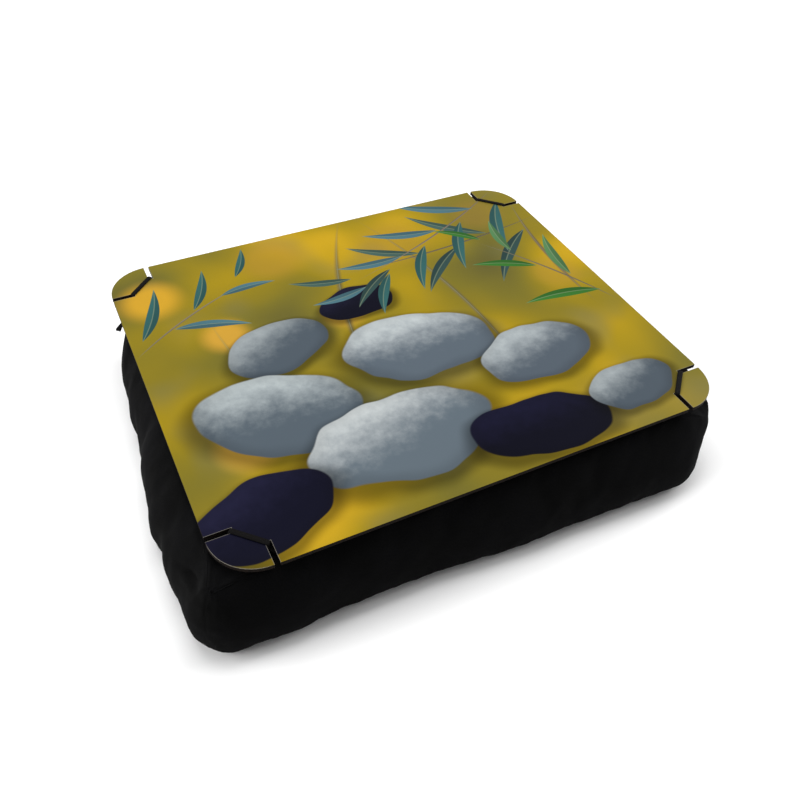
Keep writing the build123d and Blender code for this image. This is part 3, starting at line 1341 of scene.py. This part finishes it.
@dataclass(frozen=True)
class CushionCover:
    """The sewn cover: top, bottom and four side strips as one filled skin."""

    shape: CushionShape
    frames: int = 20
    # The cloth's settings in the simulation: a light, fairly stiff cloth, cut a little large
    cloth: tuple[tuple[str, float], ...] = (
        ("mass", 0.05),
        ("tension_stiffness", 15.0),
        ("compression_stiffness", 15.0),
        ("shear_stiffness", 5.0),
        ("bending_stiffness", 4.0),
        ("uniform_pressure_force", 4.0),
        ("shrink_min", -0.007),
    )
    quality: int = 6
    cap: float = 3.0
    board_clear: float = 71.3
    groove: float = 0.7
    groove_reach: float = 1.8
    corner_groove: float = 0.1
    pucker: float = 0.25
    pucker_reach: float = 12.0
    pucker_start: float = 2.0
    pucker_lengths: Four = (9.0, 13.0, 21.0, 34.0)
    roughen: float = 0.25
    seed: int = 11
    blocks: int = 16
    foot_row: int = 4
    top_slack: float = 45.0
    bottom_slack: float = 18.0
    foot_hold: float = 0.6
    foot_seam_hold: float = 0.85
    corner_hold: float = 0.4
    # The pinch beside the front left ear, a groove with a raised lip below it and a shorter
    # groove on either side, then the lip of that corner's seam allowance at the foot, and the
    # fullness under the front right ear
    dents: tuple[Dent, ...] = (
        Dent((-213.7, -138.0, 51.0), (6.0, -26.3, 10.2), 12.0, 1.9, -2.8),
        Dent((-216.5, -141.0, 47.2), (6.0, -26.3, 10.2), 10.0, 3.2, 1.6),
        Dent((-218.2, -124.0, 43.6), (-1.0, 8.0, -9.0), 6.0, 2.2, -1.6),
        Dent((-215.0, -149.0, 52.0), (5.8, -13.4, 10.2), 7.0, 2.2, -2.0),
        Dent((-204.0, -177.5, 5.0), (1.0, -0.1, 0.0), 9.0, 4.0, 1.3),
        Dent((198.0, -163.0, 44.0), (0.2, -0.2, 1.0), 8.0, 16.0, 1.7),
    )

    def holds(self, form: Form) -> np.ndarray:
        """How firmly each point is held while the cover fills, from 0 to 1.

        The seams are held, and so are the parts of the top and the bottom that lie further
        inside them than the cloth can lift.

        Args:
            form: The cover as sewn.

        Returns:
            One value for each point.
        """
        points = form.points
        held = np.zeros(len(points))
        for grid, reach in ((form.top, self.top_slack), (form.bottom, self.bottom_slack)):
            rim = np.concatenate((grid[0], grid[-1], grid[:, 0], grid[:, -1]))
            border = points[np.unique(rim)]
            inner = np.unique(grid)
            gap = np.min(
                np.linalg.norm(points[inner][:, None, :2] - border[None, :, :2], axis=2), axis=1
            )
            held[inner] = np.clip(gap / reach, 0, 1)
        held[form.wall[-1]] = 1.0
        held[form.wall[0]] = self.foot_hold
        held[form.wall[self.foot_row]] = self.foot_seam_hold
        for column in form.corner_columns:
            line = form.wall[:, column]
            held[line] = np.maximum(held[line], self.corner_hold)
        return held

    def fill(self, form: Form) -> np.ndarray:
        """Fills the cover with a cloth simulation that presses it out from inside.

        Args:
            form: The cover as sewn.

        Returns:
            How far each point moves, in millimetres, no further than the cap.
        """
        rng = np.random.default_rng(self.seed)
        start = form.points + rng.normal(0, self.roughen, form.points.shape)
        trial = make_mesh("cover_trial", start, form.faces)
        group = trial.vertex_groups.new(name="held")
        level = np.round(self.holds(form), 1)
        for value in np.unique(level[level > 0]):
            group.add(np.flatnonzero(level == value).tolist(), float(value), "REPLACE")
        cloth = trial.modifiers.new("fill", "CLOTH")
        cloth.settings.quality = self.quality
        cloth.settings.use_pressure = True
        for setting, value in self.cloth:
            setattr(cloth.settings, setting, value)
        cloth.settings.vertex_group_mass = "held"
        cloth.settings.effector_weights.gravity = 0
        cloth.collision_settings.use_collision = False
        cloth.point_cache.frame_start = 1
        cloth.point_cache.frame_end = self.frames
        scene = bpy.context.scene
        for number in range(1, self.frames + 1):
            scene.frame_set(number)
        filled = trial.evaluated_get(bpy.context.evaluated_depsgraph_get()).data
        found = read_vertices(filled, "co")
        scene.frame_set(1)
        bpy.data.objects.remove(trial)
        move = found / MM - form.points
        size = np.linalg.norm(move, axis=1, keepdims=True)
        log.info("cover fill moved up to %.1f mm, %.1f mm on average", size.max(), size.mean())
        return move * np.minimum(1, self.cap / np.maximum(size, 1e-6))

    def seam_lift(
        self, line: np.ndarray, points: np.ndarray, groove: float, seed: int
    ) -> np.ndarray:
        """How far the cloth stands out near one seam.

        It dips into the seam by a bell curve of the distance, and puckers beside it: a wave
        along the seam that starts at nothing and fades away from it.

        Args:
            line: Points along the seam, closely spaced.
            points: Positions in millimetres.
            groove: The seam's depth.
            seed: The seed of the puckers.

        Returns:
            The lift of each point.
        """
        steps = np.linalg.norm(np.diff(line, axis=0), axis=1)
        along = np.concatenate(([0], np.cumsum(steps)))
        gap, nearest = np.empty(len(points)), np.empty(len(points), int)
        # In blocks, because the distances of all points at once take too much memory
        for block in np.array_split(np.arange(len(points)), self.blocks):
            away = np.linalg.norm(points[block, None] - line[None], axis=2)
            nearest[block] = away.argmin(axis=1)
            gap[block] = away.min(axis=1)
        wave = waves(along[nearest], self.pucker_lengths, seed)
        beside = np.exp(-gap / self.pucker_reach) * (1 - np.exp(-gap / self.pucker_start))
        return self.pucker * wave * beside - groove * np.exp(-((gap / self.groove_reach) ** 2))

    def build(self) -> bpy.types.Object:
        """Fills the cover, rounds it once, then draws in its seams and presses its folds.

        Returns:
            The cover.
        """
        form = self.shape.closed(0.0)
        points = form.points.copy()
        points += self.fill(form)
        cover = make_mesh("cushion_cover", points, form.faces, form.uv)
        smooth = cover.modifiers.new("smooth", "SUBSURF")
        smooth.levels = smooth.render_levels = 1
        fine = bpy.data.meshes.new_from_object(
            cover.evaluated_get(bpy.context.evaluated_depsgraph_get())
        )
        cover.modifiers.clear()
        cover.data = fine
        normals = read_vertices(fine, "normal").astype(float)
        start = read_vertices(fine, "co").astype(float) / MM
        # The rounding keeps the first points in their order, so the seams are found by index
        wall = form.wall
        lines = [(wall[row], self.groove) for row in (len(wall) - 1, self.foot_row)]
        lines = [(np.append(row, row[0]), groove) for row, groove in lines]
        lines += [(wall[:, column], self.corner_groove) for column in form.corner_columns]
        lift = np.zeros(len(start))
        for seed, (row, groove) in enumerate(lines):
            line = start[row]
            middle = (line[1:] + line[:-1]) / 2
            dense = np.empty((2 * len(line) - 1, 3))
            dense[::2], dense[1::2] = line, middle
            lift += self.seam_lift(dense, start, groove, seed)
        points = start + normals * lift[:, None]
        for dent in self.dents:
            points += dent.press(start, normals)
        points[:, 2] = np.clip(points[:, 2], 0.0, self.board_clear)
        move_vertices(fine, points)
        return cover


@dataclass(frozen=True)
class InnerFill:
    """A closed piece inside the cover, of the cushion's form, whose surface rolls gently.

    The layer is how far inside the cover's outside it lies, and its wrinkles go inwards by the
    depth, with the given wave lengths.
    """

    shape: CushionShape
    name: str
    layer: float
    lengths: Triple
    depth: float
    rising: Triple = (0.8, 0.6, 0.5)
    falling: Triple = (-0.5, 0.7, 0.9)
    seeds: tuple[int, int] = (21, 22)

    def build(self) -> bpy.types.Object:
        """Builds the form and presses the product of two crossing waves into it.

        Returns:
            The piece.
        """
        form = self.shape.closed(self.layer)
        piece = make_mesh(self.name, form.points, form.faces, form.uv)
        normals = read_vertices(piece.data, "normal")
        rise = waves(form.points @ np.array(self.rising), self.lengths, self.seeds[0])
        fall = waves(form.points @ np.array(self.falling), self.lengths[::-1], self.seeds[1])
        inward = -self.depth * (0.5 + 0.5 * np.clip(rise * fall, -1, 1))
        move_vertices(piece.data, form.points + normals * inward[:, None])
        return piece


# The elastics


@dataclass(frozen=True)
class Strap:
    """The route and section shared by the four corner elastics.

    A route lies in the upright plane across a corner. Its first number runs from the notch in
    the side edge to the notch in the front or back edge, its second is the height.
    """

    notch_setback: float = 36.0
    notch_inner: float = 16.4
    seam_inset: float = 5.0
    sewn_height: float = 68.1
    under_height: float = 70.2
    over_height: float = 75.68
    half_width: float = 2.0
    half_thickness: float = 0.52
    step: float = 0.45
    softening: float = 0.9
    tail_start: float = 3.0
    tail_start_drop: float = 0.3
    tail_reach: float = 12.3
    tail_drop: float = 10.0
    tail_drift: float = 3.4
    drift_at: float = 9.0
    drift_reach: float = 4.5
    cut_at: float = 1.4
    cut_swell: float = 1.1
    cut_swell_reach: float = 1.5
    cut_spread: float = 0.12
    cut_spread_reach: float = 1.6
    side_power: float = 0.55
    face_power: float = 0.7
    rib_height: float = 0.1
    rib_pitch: float = 1.0
    most_bend: float = 0.25
    bend_narrowing: float = 0.3
    section_points: int = 28

    @property
    def corner_middle(self) -> float:
        """How far inside the board's two edges the middle of a strap lies."""
        return (self.notch_setback + self.notch_inner) / 2

    @property
    def half_span(self) -> float:
        """Half the length of the part that lies on the board."""
        return (self.notch_setback - self.notch_inner) / math.sqrt(2)

    @property
    def sewn_end(self) -> float:
        """How far from the middle an end is sewn down."""
        return self.half_span + (self.notch_inner - self.seam_inset) * math.sqrt(2)

    def route(self, tail: bool) -> np.ndarray:
        """The strap's line: straight runs, sampled finely and softened to a limp curve.

        Softening is a bell-weighted mean of each point's neighbours, which leaves the straight
        runs alone and rounds the bends.

        Args:
            tail: Whether the first end goes on past the seam as a loose tail.

        Returns:
            Rows of run and height.
        """
        corners = [
            (-self.sewn_end, self.sewn_height),
            (-self.half_span, self.under_height),
            (-self.half_span, self.over_height),
            (self.half_span, self.over_height),
            (self.half_span, self.under_height),
            (self.sewn_end, self.sewn_height),
        ]
        if tail:
            start_run = -self.sewn_end - self.tail_start
            corners[0] = (start_run, self.sewn_height - self.tail_start_drop)
            cut = (-self.sewn_end - self.tail_reach, self.sewn_height - self.tail_drop)
            corners.insert(0, cut)
        line = np.array(corners)
        steps = np.linalg.norm(np.diff(line, axis=0), axis=1)
        lengths = np.concatenate(([0], np.cumsum(steps)))
        run = np.linspace(0, lengths[-1], int(lengths[-1] / self.step) + 1)
        dense = np.stack([np.interp(run, lengths, line[:, i]) for i in (0, 1)], axis=1)
        reach = int(3 * self.softening / self.step)
        bell = np.exp(-((np.arange(-reach, reach + 1) * self.step / self.softening) ** 2))
        bell /= bell.sum()
        before = 2 * dense[0] - dense[reach:0:-1]
        after = 2 * dense[-1] - dense[-2 : -reach - 2 : -1]
        padded = np.concatenate((before, dense, after))
        return np.stack([np.convolve(padded[:, i], bell, "valid") for i in (0, 1)], axis=1)


@dataclass(frozen=True)
class CornerElastic:
    """One flat braided elastic over a corner of the board, by its place in the list."""

    strap: Strap
    corner: int

    def build(self) -> bpy.types.Object:
        """Carries the section along the route.

        The section is a flattened oval whose two faces have shallow ribs. It narrows a little
        where the strap bends over the board's edge. A tail bows sideways past the seam and
        thickens at its cut end.

        Returns:
            The strap.
        """
        strap, name = self.strap, CORNER_NAMES[self.corner]
        sign = CORNERS[self.corner]
        tail = name == "back_left"
        route = strap.route(tail)
        origin = sign * (BOARD_HALF - strap.corner_middle)
        along = np.array((-sign[0], sign[1])) / math.sqrt(2)
        aside = np.array((sign[0], sign[1], 0.0)) / math.sqrt(2)
        spine = np.concatenate((origin + route[:, :1] * along, route[:, 1:]), axis=1)
        tangent = np.gradient(route, axis=0)
        tangent /= np.linalg.norm(tangent, axis=1, keepdims=True)
        up = np.concatenate((-tangent[:, 1:] * along, tangent[:, :1]), axis=1)
        turn = np.linspace(0, 2 * math.pi, strap.section_points, endpoint=False)
        cosine, sine = np.cos(turn), np.sin(turn)
        across = strap.half_width * np.sign(cosine) * np.abs(cosine) ** strap.side_power
        rib = 1 + strap.rib_height * np.cos(2 * math.pi * across / strap.rib_pitch)
        thick = strap.half_thickness * np.sign(sine) * np.abs(sine) ** strap.face_power * rib
        bend = np.abs(np.gradient(np.unwrap(np.arctan2(tangent[:, 1], tangent[:, 0]))))
        narrow = 1 - strap.bend_narrowing * np.clip(bend, 0, strap.most_bend)
        swell = np.ones(len(route))
        if tail:
            run = np.arange(len(route)) * strap.step
            drift = strap.tail_drift * np.exp(-(((run - strap.drift_at) / strap.drift_reach) ** 2))
            spine -= aside * drift[:, None]
            past = run - strap.cut_at
            swell += strap.cut_swell * np.exp(-((past / strap.cut_swell_reach) ** 2))
            narrow *= 1 + strap.cut_spread * np.exp(-((past / strap.cut_spread_reach) ** 2))
        points = (
            spine[:, None]
            + aside * (across * narrow[:, None])[..., None]
            + up[:, None] * (thick * swell[:, None])[..., None]
        )
        rings, count = points.shape[:2]
        # The section runs the other way round the route where the plane's sides are swapped
        turned = along[0] * aside[1] - along[1] * aside[0] > 0
        faces = tube_faces(rings, count, 0, turned)
        length = np.arange(rings) * strap.step
        cloth = np.stack(np.broadcast_arrays(length[:, None], across[None]), axis=2)
        cloth = cloth.reshape(-1, 2)
        corners = np.concatenate([np.asarray(f) for f in faces])
        return make_mesh(f"braid_{name}", points.reshape(-1, 3), faces, cloth[corners] * MM)


@dataclass(frozen=True)
class ThreadTacks:
    """The zigzag stitches that sew both ends of each elastic down."""

    strap: Strap
    stitches: int = 7
    stitch_points: int = 8
    length: float = 2.6
    half_width: float = 2.3
    thread_radius: float = 0.19
    dip: float = 0.75
    dip_power: int = 6
    inset: float = 4.3
    lift: float = 0.62
    sides: int = 6

    def zigzag(
        self, origin: np.ndarray, along: np.ndarray, aside: np.ndarray, up: np.ndarray
    ) -> np.ndarray:
        """A stitched line that swings from side to side and dips at each turn.

        Args:
            origin: The middle of the tack.
            along: Unit vector along the strap.
            aside: Unit vector across it.
            up: Unit vector out of it.

        Returns:
            The tube's points, ring by ring.
        """
        run = np.linspace(0, self.stitches, self.stitches * self.stitch_points + 1)
        swing = 2 * np.abs(np.mod(run, 2) - 1) - 1
        dip = -self.dip * np.abs(swing) ** self.dip_power
        line = (
            origin
            + np.outer(run / self.stitches - 0.5, along) * self.length
            + np.outer(swing, aside) * self.half_width
            + np.outer(dip, up)
        )
        tangent = np.gradient(line, axis=0)
        tangent /= np.linalg.norm(tangent, axis=1, keepdims=True)
        first = np.cross(tangent, up)
        first /= np.linalg.norm(first, axis=1, keepdims=True)
        second = np.cross(tangent, first)
        turn = np.linspace(0, 2 * math.pi, self.sides, endpoint=False)
        return (
            line[:, None]
            + self.thread_radius * np.cos(turn)[:, None] * first[:, None]
            + self.thread_radius * np.sin(turn)[:, None] * second[:, None]
        )

    def build(self) -> bpy.types.Object:
        """Stitches all eight tacks as one piece, each across its strap near the sewn end.

        Returns:
            The stitches.
        """
        strap = self.strap
        points, faces = [], []
        slope = (strap.under_height - strap.sewn_height) / (strap.sewn_end - strap.half_span)
        for sign in CORNERS:
            origin = sign * (BOARD_HALF - strap.corner_middle)
            across = np.array((sign[0], sign[1], 0.0)) / math.sqrt(2)
            for side in (-1.0, 1.0):
                flat = np.array((-sign[0], sign[1])) / math.sqrt(2) * side
                along = np.array((flat[0], flat[1], -slope))
                along /= np.linalg.norm(along)
                up = np.cross(along, across)
                up *= np.sign(up[2])
                run = strap.sewn_end - self.inset
                height = strap.sewn_height + slope * self.inset
                foot = np.array((*(origin + flat * run), height)) + up * self.lift
                tube = self.zigzag(foot, along, across, up)
                rings, count = tube.shape[:2]
                faces += tube_faces(rings, count, len(points) * rings * count, True)
                points.append(tube.reshape(-1, 3))
        return make_mesh("tack_stitches", np.concatenate(points), faces)


@dataclass(frozen=True)
class LapTray:
    """The whole object: the board, its elastics and the cushion."""

    shape: CushionShape = CushionShape()
    strap: Strap = Strap()
    panels: tuple[str, ...] = (
        "cover_top_panel",
        "cover_bottom_panel",
        "side_strip_front",
        "side_strip_right",
        "side_strip_back",
        "side_strip_left",
    )
    fill_share: float = 0.6
    lift_start: Triple = (0.0, 0.0, 0.0682)
    lift_end: Triple = (0.0, 0.0, 0.0745)

    def dress_board(self) -> None:
        """Gives the two CAD pieces of the board their materials."""
        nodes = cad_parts
        dress(nodes["board_core"], SingedHardboard().make())
        dress(nodes["board_print"], PrintedCoat().make())
        log.info("board: core and print dressed")

    def place_filled(
        self, piece: bpy.types.Object, material: bpy.types.Material, slot: Slot, *nodes: str
    ) -> None:
        """Dresses a filled piece of the cushion, hangs it on the cushion's body and hides the CAD
        nodes that it replaces.

        Args:
            piece: The piece.
            material: Its material.
            slot: Not used.
            *nodes: The CAD nodes that it replaces.
        """
        dress(piece, material)
        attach(piece, Body.CUSHION.value)
        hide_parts(*nodes)
        log.info("%s: %d points", piece.name, len(piece.data.vertices))

    def build_cushion(self) -> None:
        """Builds the cover, the lining bag and the beads."""
        cover = CushionCover(self.shape).build()
        self.place_filled(cover, BrushedMicrofibre().make(), Slot.COVER_FABRIC, *self.panels)
        liner = InnerFill(
            self.shape, "lining_bag", layer=3.6, lengths=(38.0, 61.0, 90.0), depth=1.2
        ).build()
        self.place_filled(liner, NonWovenLining().make(), Slot.LINING, "inner_liner")
        beads = InnerFill(
            self.shape, "bead_heap", layer=6.4, lengths=(12.0, 19.0, 47.0), depth=1.4
        ).build()
        self.place_filled(beads, PolystyreneBeads().make(), Slot.BEADS, "bead_fill")

    def build_elastics(self) -> None:
        """Builds the four elastics and their stitches."""
        braid = BraidedElastic().make()
        for corner, name in enumerate(CORNER_NAMES):
            strap = CornerElastic(self.strap, corner).build()
            dress(strap, braid)
            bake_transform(strap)
            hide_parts(f"elastic_{name}")
            log.info("%s: %d points", strap.name, len(strap.data.vertices))
        stitches = ThreadTacks(self.strap).build()
        dress(stitches, SewingThread().make())
        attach(stitches, Body.CUSHION.value)
        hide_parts("elastic_tacks")
        log.info("%s: %d points", stitches.name, len(stitches.data.vertices))


@dataclass(frozen=True)
class Lamp:
    """A soft rectangular lamp that is aimed at the origin. Its place and sizes are in metres."""

    name: str
    place: Triple
    width: float
    height: float
    watts: float

    def hang(self) -> None:
        """Adds the lamp to the scene."""
        lamp = bpy.data.lights.new(self.name, "AREA")
        lamp.shape, lamp.size, lamp.size_y = "RECTANGLE", self.width, self.height
        lamp.energy = self.watts
        holder = bpy.data.objects.new(self.name, lamp)
        turn = (-Vector(self.place)).to_track_quat("-Z", "Y").to_matrix().to_4x4()
        holder.matrix_world = Matrix.Translation(self.place) @ turn
        bpy.context.scene.collection.objects.link(holder)


@dataclass(frozen=True)
class Studio:
    """A white floor, soft lamps and the camera. Sizes and places are in metres."""

    floor_half: float = 4.0
    floor_level: float = -0.00005
    floor_colour: str = "#f1f1f1"
    floor_glow: float = 0.02
    whiten_from: float = 0.7
    whiten_to: float = 1.8
    world_colour: str = "#ffffff"
    world_level: float = 0.2
    lens: float = 36.22
    sensor: float = 36.0
    nearest: float = 0.01
    farthest: float = 50.0
    camera_place: Triple = (-0.2321, -0.4511, 0.4978)
    camera_right: Triple = (0.8981, -0.4387, 0.0313)
    camera_up: Triple = (0.2884, 0.6411, 0.7112)
    lamps: tuple[Lamp, ...] = (
        Lamp("lamp_overhead", (0.0, 0.40, 2.0), 1.4, 0.9, 28.0),
        Lamp("lamp_left", (-1.7, 0.3, 0.95), 1.4, 1.4, 34.0),
        Lamp("lamp_right", (1.7, 0.0, 0.85), 1.4, 1.4, 33.0),
    )

    def background_share(self, graph: Graph) -> bpy.types.NodeSocket:
        """Finds the rays that look at the background: from the camera, a gloss or through glass.

        Args:
            graph: The material's or the world's graph.

        Returns:
            1 for such a ray, or else 0.
        """
        path = graph.add("LightPath").node.outputs
        seen = graph.add(
            "Math", (path["Is Camera Ray"], path["Is Glossy Ray"]), operation="MAXIMUM"
        )
        return graph.add("Math", (seen, path["Is Transmission Ray"]), operation="MAXIMUM")

    def build_floor(self) -> None:
        """Lays a white matt floor that keeps the object's shadow and is plain white far away."""
        corners = np.column_stack((CORNERS * self.floor_half, np.full(4, self.floor_level)))
        floor = make_mesh("floor", corners / MM, [(0, 1, 2, 3)])
        material, graph = new_material("white_paper_sweep")
        paper = graph.add("BsdfDiffuse", {"Color": linear(self.floor_colour)})
        seen = self.background_share(graph)
        place = graph.add("TexCoord", pick="Object")
        away = graph.add("VectorMath", (place,), "Value", operation="LENGTH")
        level = graph.add(
            "MapRange", (away, self.whiten_from, self.whiten_to, self.floor_glow, 1.0)
        )
        glow = graph.add("Math", (seen, level), operation="MULTIPLY")
        lift = graph.add("Emission", {"Strength": glow})
        both = graph.add("AddShader", (paper, lift))
        graph.add("OutputMaterial", {"Surface": both})
        dress(floor, material)

    def build_world(self) -> None:
        """Surrounds the scene with plain light, white where it is seen."""
        world = bpy.data.worlds.new("studio")
        bpy.context.scene.world = world
        world.use_nodes = True
        graph = Graph(world.node_tree)
        seen = self.background_share(graph)
        level = graph.add("MapRange", (seen, 0.0, 1.0, self.world_level, 1.0))
        light = graph.add("Background", {"Color": linear(self.world_colour), "Strength": level})
        graph.add("OutputWorld", {"Surface": light})

    def build_lamps(self) -> None:
        """Hangs the soft lamps."""
        for lamp in self.lamps:
            lamp.hang()

    def build_camera(self) -> None:
        """Stands the camera where the photograph was taken from."""
        camera = bpy.data.cameras.new("camera")
        camera.lens, camera.sensor_width = self.lens, self.sensor
        camera.clip_start, camera.clip_end = self.nearest, self.farthest
        holder = bpy.data.objects.new("camera", camera)
        right, up = Vector(self.camera_right).normalized(), Vector(self.camera_up)
        back = right.cross(up).normalized()
        up = back.cross(right)
        turn = Matrix((right, up, back)).transposed().to_4x4()
        holder.matrix_world = Matrix.Translation(self.camera_place) @ turn
        bpy.context.scene.collection.objects.link(holder)
        bpy.context.scene.camera = holder

    def build(self) -> None:
        """Sets the whole studio up."""
        self.build_floor()
        self.build_world()
        self.build_lamps()
        self.build_camera()
        bpy.context.scene.view_settings.view_transform = "Standard"
        log.info("studio: floor, world, %d lamps and camera", len(self.lamps))


def main() -> None:
    logging.basicConfig(level=logging.INFO, format="%(name)s: %(message)s")
    Studio().build()
    tray = LapTray()
    tray.dress_board()
    tray.build_cushion()
    tray.build_elastics()
    bpy.context.view_layer.update()


if __name__ == "__main__":
    main()
